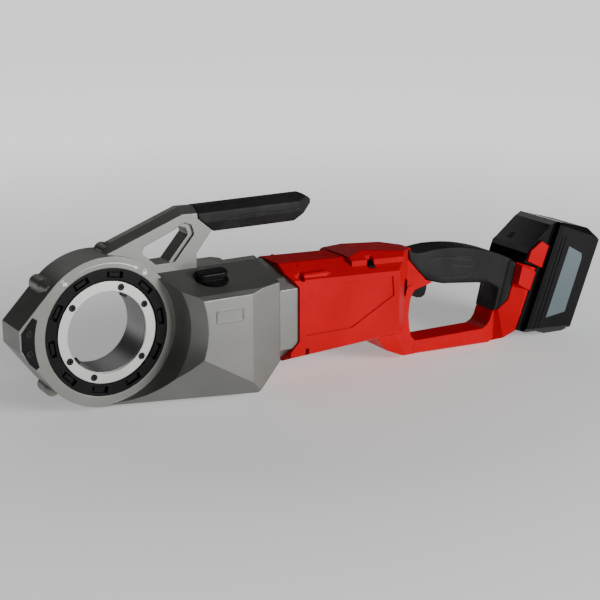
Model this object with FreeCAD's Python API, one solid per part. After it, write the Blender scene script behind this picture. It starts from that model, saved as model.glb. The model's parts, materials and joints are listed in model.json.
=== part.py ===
import FreeCAD, Part
import math
import os
from FreeCAD import Placement, Rotation, Vector

# Cordless pipe threading machine, millimetres.
# Origin on the axis of the pipe bore. +X runs from the head to the battery, +Y away from the
# operator's side (the die head enters from -Y), +Z up. The motor and the handle lie in Y = 0.

os.makedirs("parts", exist_ok=True)

# ---- clearances -------------------------------------------------------------------------
RUN = 0.05            # radial clearance of a shaft that turns in its bearing
GAP = 0.3             # gap between parts that move past each other
FAR = 400.0           # longer than any part, for cutting tools

# ---- head -------------------------------------------------------------------------------
BORE_R = 44.0         # pipe bore through the spindle
SPINDLE_R = 50.0      # outside of the spindle tube
FACE_RING_R = 55.0    # steel face ring that the die head locks to
LOCK_RING_R = 68.7    # black turning lock ring
HEAD_R = 81.0         # outside of the round head
FACE_Y = -5.5         # plane of the rim and the face ring
RING_BACK_Y = -1.5    # back of the face ring, front of the spindle flange
LOCK_BACK_Y = 2.0     # back of the lock ring
SPLIT_Y = 14.0        # joint between front and rear head castings
BACK_Y = 42.0         # back of the head
NOSE_X = -96.5        # flat end of the nose
NOSE_Z = (16.4, -6.4)
FACE_SCREWS = (30, 70, 140, 210, 250, 320)
FACE_SCREW_R = 49.6   # radius of the face screws' circle
KEY_ANGLES = (62, 217)
POCKETS = 10          # pockets around the lock ring
POCKET_START = 8.0
BOSS_ANGLES = (80, 138, 226)
BOSS_R = 8.5
BOSS_NOSES = ((138, 13.0), (226, 9.0))  # angle and length of their sloping fronts
BOLT_REACH = 6.0      # how far the case bolts go into the front casting
GEAR_Y = (12.0, 30.0)  # width of the spur train

# ---- gears ------------------------------------------------------------------------------
PRESSURE = math.radians(20)
BACKLASH = 0.12       # taken off each flank
SPUR_M = 2.0
SPINDLE_TEETH = 62
IDLER_TEETH = 18
OUTPUT_TEETH = 18
IDLER_X = SPUR_M * (SPINDLE_TEETH + IDLER_TEETH) / 2
CROSS_X = IDLER_X + SPUR_M * (IDLER_TEETH + OUTPUT_TEETH) / 2
BEVEL_M = 1.75
BEVEL_PINION_TEETH = 15
BEVEL_GEAR_TEETH = 30
BEVEL_FACE = 0.30     # tooth length as a share of the cone distance
PLANET_M = 1.0
SUN_TEETH = 18
PLANET_TEETH = 18
RING_TEETH = 54
PLANETS = 3
PLANET_ORBIT = PLANET_M * (SUN_TEETH + PLANET_TEETH) / 2
PLANET_X = (171.0, 183.0)

# ---- shafts and motor -------------------------------------------------------------------
CROSS_R = 8.0
IDLER_PIN_R = 6.0
CARRIER_R = 7.0
MOTOR_SHAFT_R = 6.0
ROTOR_X = (225.0, 285.0)
ROTOR_R = 21.0
STATOR_R = 36.5
MOTOR_BORE_R = 38.0
FAN_X = (291.0, 303.0)

# ---- gearbox casting --------------------------------------------------------------------
GEARBOX_Y = -53.0     # near face
GEARBOX_END_X = 147.0
NECK_X = 186.0        # where the casting narrows to the motor neck
SHELL_X = 209.0       # where the red shell begins on its flank
CASE_FRONT_X = 197.0  # where it begins above and below
CASE_END_X = 341.0    # where its flanks turn in towards the handle
CASE_TAPER = (0.68, -0.733, 0)
SHOULDER = (0.040, -0.487, 0.872)
BOTTOM_Z = -81.0
RAIL_HALF = 16.0      # half width of the handle's lower rail

# ---- handle and battery -----------------------------------------------------------------
GRIP_HALF = 17.0
SHELL_HALF = 46.0     # half width of the motor housing
FOOT_HALF = 33.0
BATTERY_TILT = 20.7   # lean of the battery from upright
BATTERY_AT = Vector(523.4, 0, -70.0)
BATTERY_HALF = 40.0
CELL_R = 10.6
CELL_LENGTH = 70.0


# ---- helpers ----------------------------------------------------------------------------
def box(x, y, z):
    low = Vector(x[0], y[0], z[0])
    return Part.makeBox(x[1] - x[0], y[1] - y[0], z[1] - z[0], low)


def rod_y(radius, y, x=0.0, z=0.0):
    return Part.makeCylinder(radius, y[1] - y[0], Vector(x, y[0], z), Vector(0, 1, 0))


def rod_x(radius, x, y=0.0, z=0.0):
    return Part.makeCylinder(radius, x[1] - x[0], Vector(x[0], y, z), Vector(1, 0, 0))


def tube_y(inner, outer, y, x=0.0, z=0.0):
    return rod_y(outer, y, x, z).cut(rod_y(inner, y, x, z))


def tube_x(inner, outer, x, y=0.0, z=0.0):
    return rod_x(outer, x, y, z).cut(rod_x(inner, x, y, z))


def cone_y(r1, r2, y):
    return Part.makeCone(r1, r2, y[1] - y[0], Vector(0, y[0], 0), Vector(0, 1, 0))


def fuse(shapes):
    whole = shapes[0].fuse(list(shapes[1:])) if len(shapes) > 1 else shapes[0]
    return whole.removeSplitter()


def cut(shape, tools):
    return shape.cut(list(tools)).removeSplitter()


def group(shapes):
    return Part.makeCompound(list(shapes))


def face_of(points):
    return Part.Face(Part.makePolygon(list(points) + [points[0]]))


def plate(outline, y):
    """A plate with an (x, z) outline, between two heights in Y."""
    face = face_of([Vector(a, y[0], b) for a, b in outline])
    return face.extrude(Vector(0, y[1] - y[0], 0))


def loft(rings):
    """A solid between flat rings that all have the same number of points."""
    wires = [Part.makePolygon(list(ring) + [ring[0]]) for ring in rings]
    return Part.makeLoft(wires, True, True)


def trim(shape, point, normal):
    """Take away what lies beyond a plane, on the side its normal points to."""
    tool = Part.makeBox(2 * FAR, 2 * FAR, FAR, Vector(-FAR, -FAR, 0))
    tool.Placement = Placement(Vector(*point), Rotation(Vector(0, 0, 1), Vector(*normal)))
    return shape.cut(tool)


def round_edges(shape, radius, wanted):
    """Round the edges whose ends both pass a test of place."""
    edges = [e for e in shape.Edges if all(wanted(v.Point) for v in e.Vertexes)]
    return shape.makeFillet(radius, edges)


def polar(radius, degrees):
    a = math.radians(degrees)
    return radius * math.cos(a), radius * math.sin(a)


def turn_y(shape, degrees):
    """Turn about the bore so that angles run from +X towards +Z."""
    turned = shape.copy()
    turned.rotate(Vector(0, 0, 0), Vector(0, 1, 0), -degrees)
    return turned


def in_battery(shape):
    """From battery axes (x outward, z along the slide) to the tool's axes."""
    frame = Placement(BATTERY_AT, Rotation(Vector(0, 1, 0), BATTERY_TILT))
    placed = shape.copy()
    placed.Placement = frame.multiply(placed.Placement)
    return placed


def bolt_y(radius, head_r, y, head, x=0.0, z=0.0):
    """A socket head screw whose head is at the low-Y end."""
    shank = rod_y(radius, y, x, z)
    cap = rod_y(head_r, (y[0] - head, y[0]), x, z)
    socket = rod_y(head_r * 0.45, (y[0] - head, y[0] - head * 0.4), x, z)
    return fuse([shank, cap]).cut(socket)


def save(name, shape):
    solids = shape.Solids
    kept = solids[0] if len(solids) == 1 else Part.makeCompound(solids)
    if not kept.isValid():
        print("not valid:", name)
    kept.exportStep("parts/" + name + ".step")
    print(name, len(solids), round(sum(s.Volume for s in solids)))


# ---- gear teeth -------------------------------------------------------------------------
def involute(angle):
    return math.tan(angle) - angle


def tooth_flank(teeth, module, cone=0.0, inner=False):
    """Points (radius, half angle) up one flank, on the pitch cone's large end."""
    pitch_r = module * teeth / 2
    spread = math.cos(cone)
    virtual_r = pitch_r / spread
    virtual_teeth = teeth / spread
    base_r = virtual_r * math.cos(PRESSURE)
    low, high = (-1.0, 1.25) if inner else (-1.25, 1.0)
    slack = BACKLASH if inner else -BACKLASH
    flank = []
    for step in range(6):
        height = module * (low + (high - low) * step / 5)
        r = virtual_r + height
        pressure = math.acos(min(1.0, base_r / r))
        half = r * (math.pi / (2 * virtual_teeth) + involute(PRESSURE) - involute(pressure))
        half = half + slack
        radius = pitch_r + height * spread
        angle = half / radius
        if cone:
            distance = pitch_r / math.sin(cone)
            radius = distance * math.cos(cone) * math.tan(cone + math.atan(height / distance))
        flank.append((radius, angle))
    return flank


def gear_outline(teeth, module, phase=0.0, cone=0.0, inner=False, scale=1.0):
    """(u, v) corners of the whole gear; a tooth is centred on the phase angle."""
    flank = tooth_flank(teeth, module, cone, inner)
    corners = []
    for tooth in range(teeth):
        middle = math.radians(phase) + 2 * math.pi * tooth / teeth
        for radius, angle in flank:
            corners.append((radius, middle - angle))
        for radius, angle in reversed(flank):
            corners.append((radius, middle + angle))
    return [(scale * r * math.cos(a), scale * r * math.sin(a)) for r, a in corners]


def spur_y(teeth, module, y, x, phase=0.0):
    outline = gear_outline(teeth, module, phase)
    return plate([(x + u, v) for u, v in outline], y)


def spur_x(teeth, module, x, centre=(0.0, 0.0), phase=0.0, inner=False):
    outline = gear_outline(teeth, module, phase, inner=inner)
    points = [Vector(x[0], centre[0] + u, centre[1] + v) for u, v in outline]
    return face_of(points).extrude(Vector(x[1] - x[0], 0, 0))


# ---- head castings ----------------------------------------------------------------------
def head_outline():
    """The nose: two tangents from the round head to its flat end."""
    top = polar(HEAD_R, 136.0)
    low = polar(HEAD_R, 217.5)
    return [(0, 0), top, (NOSE_X, NOSE_Z[0]), (NOSE_X, NOSE_Z[1]), low]


def head_body(y):
    return fuse([rod_y(HEAD_R, y), plate(head_outline(), y)])


def gearbox_block():
    """The faceted box that stands out in front of the ring and carries the gear train."""
    block = box((0, NECK_X), (GEARBOX_Y, SPLIT_Y), (BOTTOM_Z, 60))
    block = trim(block, (0, GEARBOX_Y, 34.8), (0, -0.312, 0.950))
    block = trim(block, (0, 4, 53.5), (0, -0.141, 0.990))
    block = trim(block, (0, GEARBOX_Y, 31.5), (0, -0.73, 0.683))
    block = trim(block, (91, GEARBOX_Y, -34), (-0.2505, -0.8687, -0.4251))
    block = trim(block, (GEARBOX_END_X, GEARBOX_Y, 0), (0.225, -0.974, 0))
    block = trim(block, (156, 0, BOTTOM_Z), (0.695, 0, -0.719))
    return round_edges(block, 1.6, lambda p: p.y < SPLIT_Y - 1 and p.x > 1)


def neck_block():
    """The narrow end of the casting, that the motor housing bolts to."""
    ring = [(-43.5, -40), (-43.5, 27), (-34, 39), (-15, 46), (15, 50), (34, 42)]
    ring += [(43.5, 27), (43.5, -40), (32, -51), (-32, -51)]
    start = [Vector(NECK_X - 6, y, z) for y, z in ring]
    end = [Vector(SHELL_X, y, z) for y, z in ring]
    return loft([start, end])


def gear_chamber():
    """The space around the spur train, shared by both castings."""
    y = (4.0, 38.0)
    link = box((40, CROSS_X), y, (-21.5, 21.5))
    return fuse([rod_y(66.0, y), link, rod_y(21.5, y, CROSS_X)])


def bevel_chamber():
    """The space around the bevel pair and the planet carrier."""
    gear = rod_y(32.5, (-24.0, 6.0), CROSS_X)
    seat = rod_y(16.0, (-43.0, -23.0), CROSS_X)
    pinion = rod_x(18.0, (CROSS_X, 162.5))
    planets = rod_x(34.0, (162.0, NECK_X + 4))
    motor = rod_x(MOTOR_BORE_R, (NECK_X + 3, SHELL_X + 2))
    return fuse([gear, seat, pinion, planets, motor])


def front_housing():
    shapes = [head_body((FACE_Y, SPLIT_Y)), gearbox_block(), neck_block()]
    shape = fuse(shapes + [boss_nose(*nose) for nose in BOSS_NOSES])
    recess = [cone_y(94.0, 82.5, (GEARBOX_Y - 0.01, -35.0))]
    recess.append(cone_y(82.5, 78.0, (-35.0, FACE_Y)))
    ring_seat = rod_y(LOCK_RING_R + GAP, (FACE_Y - 1, LOCK_BACK_Y + GAP))
    flange_seat = rod_y(FACE_RING_R + GAP, (FACE_Y - 1, 4.0))
    bearing_seat = rod_y(60.0, (3.0, 11.0))
    knob_at, knob_dir = knob_axis()
    pocket = Part.makeCylinder(19.0, 20, knob_at, knob_dir)
    shaft = Part.makeCylinder(5.0 + RUN, 8.5, knob_at - knob_dir * 7.5, knob_dir)
    tools = recess + [ring_seat, flange_seat, bearing_seat, gear_chamber(), bevel_chamber()]
    tools += [pocket, shaft, nose_plate_body()]
    tools += [rod_y(2.5, (FACE_Y + 1.9, 9), x, z) for x, z in nose_screws()]
    tools += bolt_holes() + [carry_arm_outer(), idler_pin()]
    return main_solid(fuse([cut(shape, tools), badge_frame()]))


def bolt_holes():
    """Blind holes in the front casting, and on through the parts behind it."""
    return [rod_y(3.0, (SPLIT_Y - BOLT_REACH - 0.5, BACK_Y + 1), x, z) for x, z in case_bolts()]


def main_solid(shape):
    return max(shape.Solids, key=lambda solid: solid.Volume)


def rear_outline_block():
    block = box((0, GEARBOX_END_X), (SPLIT_Y, BACK_Y), (BOTTOM_Z, 60))
    block = trim(block, (0, 4, 53.5), (0, -0.141, 0.990))
    block = trim(block, (0, 26, 57), (0, 0.525, 0.851))
    block = trim(block, (GEARBOX_END_X, 20, 0), (0.6, 0.8, 0))
    return trim(block, (125, 0, BOTTOM_Z), (0.695, 0, -0.719))


def boss(angle, y):
    """A bolt boss on the rim of the head."""
    x, z = polar(HEAD_R - 1, angle)
    return rod_y(BOSS_R, y, x, z)


def boss_nose(angle, length):
    """The front of a boss, which slopes back into the rim."""
    x, z = polar(HEAD_R - 1, angle)
    return Part.makeCone(3.0, BOSS_R, length, Vector(x, SPLIT_Y - length, z), Vector(0, 1, 0))


def badge_frame():
    """An empty raised frame on the gearbox's near face."""
    y = (GEARBOX_Y - 0.6, GEARBOX_Y + 1)
    frames = []
    for inset, radius in ((0.0, 2.5), (1.1, 1.4)):
        outline = [(103.5 + inset, 5 + inset), (136 - inset, 5 + inset),
                   (136 - inset, 19.2 - inset), (103.5 + inset, 19.2 - inset)]
        frames.append(rounded_plate(outline, y, radius))
    return cut(frames[0], [frames[1]])


def rear_housing():
    shapes = [head_body((SPLIT_Y, BACK_Y)), rear_outline_block(), rear_neck()]
    shapes += [boss(angle, (SPLIT_Y, BACK_Y - 6)) for angle in BOSS_ANGLES]
    shape = fuse(shapes)
    tools = [gear_chamber(), rod_y(SPINDLE_R + GAP, (37.0, BACK_Y + 1))]
    tools += [rod_y(60.0, (30.9, 38.0)), bevel_chamber(), carry_arm_outer(), idler_pin()]
    tools += bolt_holes()
    tools += [rod_y(5.6, (BACK_Y - 6, BACK_Y + 1), x, z) for x, z in case_bolts()]
    tools.append(neck_block())
    return main_solid(cut(shape, tools))


def rear_neck():
    """The casting's back, falling from the head to the motor neck."""
    wide = [(SPLIT_Y, BOTTOM_Z + 30), (SPLIT_Y, 54), (26, 54), (38, 44), (38, BOTTOM_Z + 34)]
    slim = [(SPLIT_Y, -50), (SPLIT_Y, 49), (18, 49), (34, 41), (34, -46)]
    start = [Vector(GEARBOX_END_X - 25, y, z) for y, z in wide]
    end = [Vector(NECK_X, y, z) for y, z in slim]
    return loft([start, end])


def case_bolts():
    """Places of the six bolts that hold the two castings together."""
    places = [polar(HEAD_R - 1, angle) for angle in BOSS_ANGLES]
    places += [polar(74.0, 275), (134.0, 34.0), (134.0, -42.0), (-84.0, 5.0)]
    return places


# ---- spindle ----------------------------------------------------------------------------
def face_screw_places():
    return [polar(FACE_SCREW_R, angle) for angle in FACE_SCREWS]


def spindle_tube():
    wall = tube_y(BORE_R, SPINDLE_R, (RING_BACK_Y, BACK_Y - 0.5))
    flange = tube_y(BORE_R, FACE_RING_R, (RING_BACK_Y, 2.5))
    holes = [rod_y(2.5, (RING_BACK_Y - 1, 2.5), x, z) for x, z in face_screw_places()]
    return cut(fuse([wall, flange]), holes)


def drive_key(angle):
    key = box((BORE_R - 3.0, BORE_R + 1.8), (FACE_Y + 0.3, RING_BACK_Y), (-3.5, 3.5))
    return turn_y(key, angle)


def face_ring():
    ring = tube_y(BORE_R + 0.5, FACE_RING_R, (FACE_Y, RING_BACK_Y))
    tools = [rod_y(3.8, (FACE_Y - 1, -2.9), x, z) for x, z in face_screw_places()]
    tools += [rod_y(2.6, (FACE_Y - 1, 0), x, z) for x, z in face_screw_places()]
    tools += [drive_key(angle) for angle in KEY_ANGLES]
    return cut(ring, tools)


def face_ring_screws():
    return group(bolt_y(2.5, 3.6, (-2.9, 2.4), 2.4, x, z) for x, z in face_screw_places())


def spindle_gear():
    teeth = spur_y(SPINDLE_TEETH, SPUR_M, GEAR_Y, 0.0)
    return teeth.cut(rod_y(SPINDLE_R, GEAR_Y))


def lock_ring():
    """A black ring with shallow pockets that hold the die head's lugs."""
    ring = tube_y(FACE_RING_R + GAP, LOCK_RING_R, (FACE_Y, LOCK_BACK_Y))
    inner_step = rod_y(57.0, (FACE_Y - 1, FACE_Y + 1.5))
    pocket = box((58.5, 65.5), (FACE_Y - 1, FACE_Y + 5), (-9, 9))
    lug = box((59.5, 63.5), (FACE_Y + 1.5, FACE_Y + 5), (-6, 6))
    step = 360.0 / POCKETS
    tools = [inner_step]
    lugs = []
    for index in range(POCKETS):
        tools.append(turn_y(pocket, POCKET_START + step * index))
        lugs.append(turn_y(lug, POCKET_START + step * index))
    return fuse([cut(ring, tools)] + lugs)


def spindle_bearing(y):
    return tube_y(SPINDLE_R + RUN, 60.0, y)


# ---- intermediate shafts ----------------------------------------------------------------
def idler_gear():
    phase = 180.0 / IDLER_TEETH
    gear = spur_y(IDLER_TEETH, SPUR_M, GEAR_Y, IDLER_X, 180.0 + phase)
    return gear.cut(rod_y(IDLER_PIN_R + RUN, GEAR_Y, IDLER_X))


def output_pinion():
    gear = spur_y(OUTPUT_TEETH, SPUR_M, GEAR_Y, CROSS_X, 180.0)
    return gear.cut(rod_y(CROSS_R, GEAR_Y, CROSS_X))


def bevel_rings(teeth, mate, phase, place):
    """Large and small end of a bevel gear's toothed cone."""
    cone = math.atan2(teeth, mate)
    distance = BEVEL_M * teeth / 2 / math.tan(cone)
    rings = []
    for scale in (1.0, 1.0 - BEVEL_FACE):
        outline = gear_outline(teeth, BEVEL_M, phase, cone, scale=scale)
        rings.append([place(distance * scale, u, v) for u, v in outline])
    return rings


def bevel_gear():
    rings = bevel_rings(BEVEL_GEAR_TEETH, BEVEL_PINION_TEETH, 0.0,
                        lambda d, u, v: Vector(CROSS_X + u, -d, v))
    back = rings[0][0].y
    hub = rod_y(20.0, (back - 7, back), CROSS_X)
    return cut(fuse([loft(rings), hub]), [rod_y(CROSS_R, (-FAR, FAR), CROSS_X)])


def bevel_pinion():
    phase = 180.0 + 180.0 / BEVEL_PINION_TEETH
    rings = bevel_rings(BEVEL_PINION_TEETH, BEVEL_GEAR_TEETH, phase,
                        lambda d, u, v: Vector(CROSS_X + d, u, v))
    end = rings[0][0].x
    hub = rod_x(10.0, (end, end + 6))
    return cut(fuse([loft(rings), hub]), [rod_x(CARRIER_R, (0, FAR))])


def cross_shaft():
    return rod_y(CROSS_R, (-42.0, 37.5), CROSS_X)


def cross_bearings():
    return group([tube_y(CROSS_R + RUN, 16.0, (-43.0, -33.0), CROSS_X),
                  tube_y(CROSS_R + RUN, 15.0, (31.0, 38.0), CROSS_X)])


def idler_pin():
    return rod_y(IDLER_PIN_R, (2.0, 40.0), IDLER_X)


# ---- planet stage -----------------------------------------------------------------------
def planet_places():
    return [polar(PLANET_ORBIT, 360.0 * k / PLANETS) for k in range(PLANETS)]


def planet_carrier():
    shapes = [rod_x(CARRIER_R, (133.0, 165.0)), rod_x(26.0, (164.0, 170.0))]
    shapes += [rod_x(3.0, (169.0, 183.5), y, z) for y, z in planet_places()]
    return fuse(shapes)


def planet(index):
    """A planet wheel: its gap faces the sun, which has a tooth on each line of centres."""
    y, z = planet_places()[index]
    out = 360.0 * index / PLANETS
    phase = out + 180.0 + 180.0 / PLANET_TEETH
    gear = spur_x(PLANET_TEETH, PLANET_M, PLANET_X, (y, z), phase)
    return gear.cut(rod_x(3.0 + RUN, PLANET_X, y, z))


def ring_gear():
    blank = rod_x(34.0, PLANET_X)
    return blank.cut(spur_x(RING_TEETH, PLANET_M, PLANET_X, phase=ring_phase(), inner=True))


def ring_phase():
    """The ring's gap meets the tooth that each planet has on its far side."""
    return 0.0 if PLANET_TEETH % 2 else 180.0 / RING_TEETH


# ---- motor ------------------------------------------------------------------------------
def motor_shaft():
    sun = spur_x(SUN_TEETH, PLANET_M, PLANET_X)
    return fuse([sun, rod_x(MOTOR_SHAFT_R, (PLANET_X[1] - 1, 318.0))])


def rotor_core():
    core = tube_x(MOTOR_SHAFT_R, ROTOR_R, ROTOR_X)
    grooves = [rod_x(1.5, ROTOR_X, *polar(ROTOR_R, 60 * k)) for k in range(6)]
    return cut(core, grooves)


def motor_fan():
    hub = tube_x(MOTOR_SHAFT_R, 11.0, FAN_X)
    disc = tube_x(MOTOR_SHAFT_R, 29.0, (FAN_X[0], FAN_X[0] + 2))
    blades = []
    for k in range(12):
        blade = box(FAN_X, (10, 29), (-0.8, 0.8))
        blade.rotate(Vector(0, 0, 0), Vector(1, 0, 0), 30 * k)
        blades.append(blade)
    return fuse([hub, disc] + blades)


def stator_core():
    core = tube_x(ROTOR_R + 0.6, STATOR_R, ROTOR_X)
    slots = []
    for k in range(6):
        slot = box(ROTOR_X, (ROTOR_R, 33.0), (-6.0, 6.0))
        slot.rotate(Vector(0, 0, 0), Vector(1, 0, 0), 60 * k)
        slots.append(slot)
    return main_solid(cut(core, slots))


def stator_windings():
    coils = []
    for k in range(6):
        coil = box((ROTOR_X[0] - 3, ROTOR_X[1] + 3), (ROTOR_R + 2.5, 32.0), (-5.5, 5.5))
        coil.rotate(Vector(0, 0, 0), Vector(1, 0, 0), 60 * k)
        coils.append(coil)
    return group(coils)


def motor_bearing(x):
    return tube_x(MOTOR_SHAFT_R + RUN, 13.0, x)


def motor_plate(x):
    plate_shape = tube_x(13.0, MOTOR_BORE_R - 0.1, x)
    holes = [rod_x(4.0, x, *polar(26, 60 * k + 30)) for k in range(6)]
    return cut(plate_shape, holes)


# ---- small parts of the head ------------------------------------------------------------
def nose_plate_outline():
    low = [polar(80.5, 198 - 3 * k) for k in range(13)]
    return low + [(-81.5, 28.0), (-94.0, 13.0), (-94.0, -5.0), (-86.5, -20.5), (-80.0, -27.0)]


def nose_plate_body():
    face = face_of([Vector(a, FACE_Y - 0.6, b) for a, b in nose_plate_outline()])
    return face.extrude(Vector(0, 2.6, 0))


def nose_screws():
    return [(-86.3, 12.0), (-86.8, -9.0)]


def nose_plate():
    tools = [rod_y(2.6, (FACE_Y - 1, 0), x, z) for x, z in nose_screws()]
    tools += [rod_y(4.0, (FACE_Y - 1, FACE_Y + 0.7), x, z) for x, z in nose_screws()]
    return cut(nose_plate_body(), tools)


def nose_plate_screws():
    return group(bolt_y(2.45, 3.8, (FACE_Y + 0.7, 8.0), 1.9, x, z) for x, z in nose_screws())


def case_bolt_set():
    bolts = []
    for x, z in case_bolts():
        bolt = bolt_y(2.95, 5.4, (0, BACK_Y - 6 - SPLIT_Y + BOLT_REACH), 5.0)
        bolt.rotate(Vector(0, 0, 0), Vector(0, 0, 1), 180)
        bolt.translate(Vector(x, BACK_Y - 6, z))
        bolts.append(bolt)
    return group(bolts)


def rear_cover():
    """The ring that closes the back of the head around the spindle."""
    ring = tube_y(SPINDLE_R + GAP, 64.0, (BACK_Y, BACK_Y + 2.5))
    holes = [rod_y(2.2, (BACK_Y - 1, BACK_Y + 3), *polar(58, 60 * k)) for k in range(6)]
    return cut(ring, holes)


KNOB_AT = (115.4, -18.6)  # where its axis meets the sloping top
KNOB_HALF = 7.0
KNOB_END = 11.0           # centres of its rounded ends
KNOB_HEIGHT = 11.0


def knob_axis():
    """Centre of the pocket's floor and the direction square to the sloping top."""
    slope = math.atan2(0.312, 0.950)
    direction = Vector(0, -math.sin(slope), math.cos(slope))
    x, y = KNOB_AT
    on_top = Vector(x, y, 34.8 + (y - GEARBOX_Y) * math.tan(slope))
    return on_top - direction * 2.5, direction


def gearbox_knob():
    """An oval, ribbed knob on a round foot."""
    at, direction = knob_axis()
    place = Placement(at + direction * GAP, Rotation(Vector(0, 0, 1), direction))
    foot = Part.makeCylinder(15.0, 3.0)
    shaft = Part.makeCylinder(5.0, 7, Vector(0, 0, -6.5))
    oval = box((-KNOB_END, KNOB_END), (-KNOB_HALF, KNOB_HALF), (0, KNOB_HEIGHT))
    ends = [Part.makeCylinder(KNOB_HALF, KNOB_HEIGHT, Vector(x, 0, 0))
            for x in (-KNOB_END, KNOB_END)]
    oval = fuse([oval] + ends).removeSplitter()
    oval = round_edges(oval, 2.2, lambda p: p.z > KNOB_HEIGHT - 0.5)
    grooves = [box((-20, 20), (y - 0.8, y + 0.8), (KNOB_HEIGHT - 1.4, KNOB_HEIGHT + 1))
               for y in (-3.2, 0.0, 3.2)]
    body = fuse([foot, shaft, cut(oval, grooves)])
    body.Placement = place
    return body


# ---- carry arm --------------------------------------------------------------------------
ARM_Y = (3.7, 31.2)
GRIP_Y = (2.2, 32.7)
ARM_MIDDLE = 17.4
GRIP_BOLT_Z = 107.0
ARM_OUTLINE = [(2, 78), (14, 90.5), (93, 119.5), (111.5, 118.8), (112.5, 106.5), (129, 92.4),
               (109.8, 68.5), (110.6, 52), (60, 52), (40, 66)]
WINDOW = [(45.8, 77), (48.7, 83.4), (91, 100.5), (99, 98), (102.3, 90.5), (78, 62.5), (62, 62.5)]


def carry_arm_outer():
    """The cantilever arm with its upper edges bevelled."""
    shape = plate(ARM_OUTLINE, ARM_Y)
    runs = [((14, 90.5), (93, 119.5)), ((93, 119.5), (111.5, 118.8))]
    for start, end in runs:
        along = Vector(end[0] - start[0], 0, end[1] - start[1])
        along.normalize()
        outward = Vector(-along.z, 0, along.x)
        for side, y in ((-1, ARM_Y[0]), (1, ARM_Y[1])):
            point = Vector(start[0], y, start[1]) - outward * 6.5
            normal = outward + Vector(0, side * 0.75, 0)
            shape = trim(shape, (point.x, point.y, point.z), (normal.x, normal.y, normal.z))
    behind = boss(BOSS_ANGLES[0], (SPLIT_Y, FAR))
    return main_solid(cut(shape, [behind] + bolt_holes()))


def arm_tongue():
    """The stub that the grip slides on to."""
    return box((111, 125), (ARM_MIDDLE - 6.5, ARM_MIDDLE + 6.5), (99, 115))


def rounded_plate(outline, y, radius):
    shape = plate(outline, y)
    upright = [edge for edge in shape.Edges if abs(edge.Vertexes[0].Y - edge.Vertexes[1].Y) > 1]
    return shape.makeFillet(radius, upright)


def carry_arm():
    hole = rounded_plate(WINDOW, (ARM_Y[0] - 1, ARM_Y[1] + 1), 3.0)
    step = [(84, 97.5), (96, 104.5), (105, 100.5), (108, 90.5), (84, 62.5), (76, 62.5)]
    near = rounded_plate(step, (ARM_Y[0] - 1, ARM_Y[0] + 3), 3.5)
    far = rounded_plate(step, (ARM_Y[1] - 3, ARM_Y[1] + 1), 3.5)
    grip_hole = rod_x(4.0, (95, 126), ARM_MIDDLE, GRIP_BOLT_Z)
    shape = cut(carry_arm_outer(), [hole, near, far])
    return main_solid(cut(fuse([shape, arm_tongue()]), [grip_hole]))


def carry_grip():
    """Rubber sleeve over the arm's free end: eight-sided, cut back at both ends."""
    top = [(111.5, 119.0), (246, 119.0), (256.5, 112)]
    outline = top + [(256.5, 107), (236, 88.5), (135, 89.0), (113, 106.0)]
    shape = plate(outline, GRIP_Y)
    for side, y in ((-1, GRIP_Y[0]), (1, GRIP_Y[1])):
        shape = trim(shape, (0, y - side * 9.0, 119.0), (0, side * 0.62, 0.785))
        shape = trim(shape, (0, y - side * 8.0, 88.5), (0, side * 0.85, -0.53))
        shape = trim(shape, (238, y, 100), (0.35, side * 0.937, 0))
    return cut(shape, [carry_arm_outer(), arm_tongue()])


def carry_grip_bolt():
    return rod_x(3.95, (97, 124.5), ARM_MIDDLE, GRIP_BOLT_Z)


# ---- motor housing and D-handle ---------------------------------------------------------
HANDLE_OUTER = [(371, 42), (383, 38), (408, 38.5), (424, 38.5), (441, 37.2), (458, 34.7),
                (480, 29.4), (497, 24), (515, 16.8), (550, 2.0), (522.2, -73), (497, -88.5),
                (370, -84), (342, -71.7), (318, -46), (330, 20)]
HANDLE_OPENING = [(425, -4.8), (477.4, -11.0), (496, -14.5), (506.1, -20.8), (499.6, -48.5),
                  (495.7, -60), (491, -65.5), (484.5, -68.8), (386, -68), (379, -61),
                  (375.5, -49), (373.8, -34), (375, -22), (378, -13), (384, -6), (409, -0.1)]
PANEL_DEPTH = 1.4
PANEL_OUTLINE = [(216, 8), (242, 25), (332, 24.5), (334, 2), (277, -27.5), (217, -27.5)]
GRIP_OUTLINE = [(372, 43.9), (383, 39.0), (395, 38.6), (408, 39.8), (424, 39.8), (441, 38.5),
                (458, 36.0), (480, 30.7), (497, 25.3), (515, 18.0), (527, 12.0), (516, -35),
                (503, -47.5), (499.6, -48.5), (506.1, -20.8), (496, -14.5), (477.4, -11.0),
                (425, -4.8), (409, -0.1), (399, 4.3), (374, 32)]
GRIP_CURVE_END = 11   # how many of its points lead along the top
COLUMN_TOP_Z = -20.8  # where the grip's upright end turns into the arch
FLARE_OUTLINE = [(502, -47.7), (503, -47.5), (516, -35), (521.5, -16), (527.5, 9), (521, 13),
                 (510, 17), (503, 0)]
GRIP_CORE = [(366, 34), (382, 34.5), (407, 35.5), (431, 35), (456, 31.5), (482, 25), (503, 17),
             (519, 8.5), (511, -36), (509, -62), (503, -62), (504.5, -44), (510.5, -17),
             (500, -10.5), (478, -7), (425, -0.5), (411, 4.5), (401, 8.5), (378, 34)]


def both_sides(shape, point, normal):
    """Trim with a plane and with its mirror image in the handle's middle plane."""
    shape = trim(shape, point, normal)
    return trim(shape, (point[0], -point[1], point[2]), (normal[0], -normal[1], normal[2]))


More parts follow.
